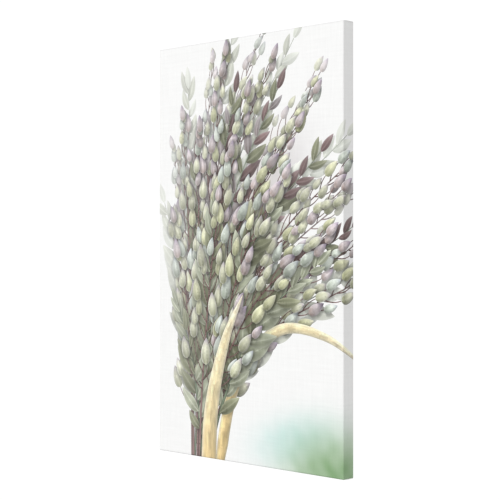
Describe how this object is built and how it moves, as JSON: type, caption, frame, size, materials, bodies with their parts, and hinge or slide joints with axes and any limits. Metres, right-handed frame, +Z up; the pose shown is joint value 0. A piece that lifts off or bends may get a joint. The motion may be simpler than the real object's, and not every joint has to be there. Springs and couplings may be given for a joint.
{
  "type": "stretched canvas print",
  "caption": "Portrait canvas print, wrapped round a keyed softwood stretcher frame and stapled behind, with a saw-tooth hanger on the top bar.",
  "frame": {"origin": "the middle notch of the saw-tooth hanger, half way through the strip's thickness, where the wall hook bears", "axes": "+Z up the print, +X to the right as the picture is seen, +Y towards the wall; the picture faces -Y"},
  "size_m": [0.36, 0.0219, 0.6],
  "materials": {
    "printed_canvas": "matt printed cotton canvas, white ground",
    "pine": "planed, untreated pine",
    "beech": "sawn, untreated beech",
    "staple_steel": "zinc-plated flat wire",
    "brass_plated_steel": "brass-plated steel, satin"
  },
  "bodies": {
    "root": {"canvas": "printed_canvas", "stretcher_bar_top": "pine", "stretcher_bar_bottom": "pine", "stretcher_bar_left": "pine", "stretcher_bar_right": "pine", "key_top_start": "beech", "key_top_end": "beech", "key_bottom_start": "beech", "key_bottom_end": "beech", "key_left_start": "beech", "key_left_end": "beech", "key_right_start": "beech", "key_right_end": "beech", "staple_top_01": "staple_steel", "staple_top_02": "staple_steel", "staple_top_03": "staple_steel", "staple_top_04": "staple_steel", "staple_top_05": "staple_steel", "staple_top_06": "staple_steel", "staple_bottom_01": "staple_steel", "staple_bottom_02": "staple_steel", "staple_bottom_03": "staple_steel", "staple_bottom_04": "staple_steel", "staple_bottom_05": "staple_steel", "staple_bottom_06": "staple_steel", "staple_left_01": "staple_steel", "staple_left_02": "staple_steel", "staple_left_03": "staple_steel", "staple_left_04": "staple_steel", "staple_left_05": "staple_steel", "staple_left_06": "staple_steel", "staple_left_07": "staple_steel", "staple_left_08": "staple_steel", "staple_left_09": "staple_steel", "staple_left_10": "staple_steel", "staple_left_11": "staple_steel", "staple_right_01": "staple_steel", "staple_right_02": "staple_steel", "staple_right_03": "staple_steel", "staple_right_04": "staple_steel", "staple_right_05": "staple_steel", "staple_right_06": "staple_steel", "staple_right_07": "staple_steel", "staple_right_08": "staple_steel", "staple_right_09": "staple_steel", "staple_right_10": "staple_steel", "staple_right_11": "staple_steel", "sawtooth_hanger": "brass_plated_steel", "hanger_nail_1": "brass_plated_steel", "hanger_nail_2": "brass_plated_steel"}
  },
  "joints": []
}
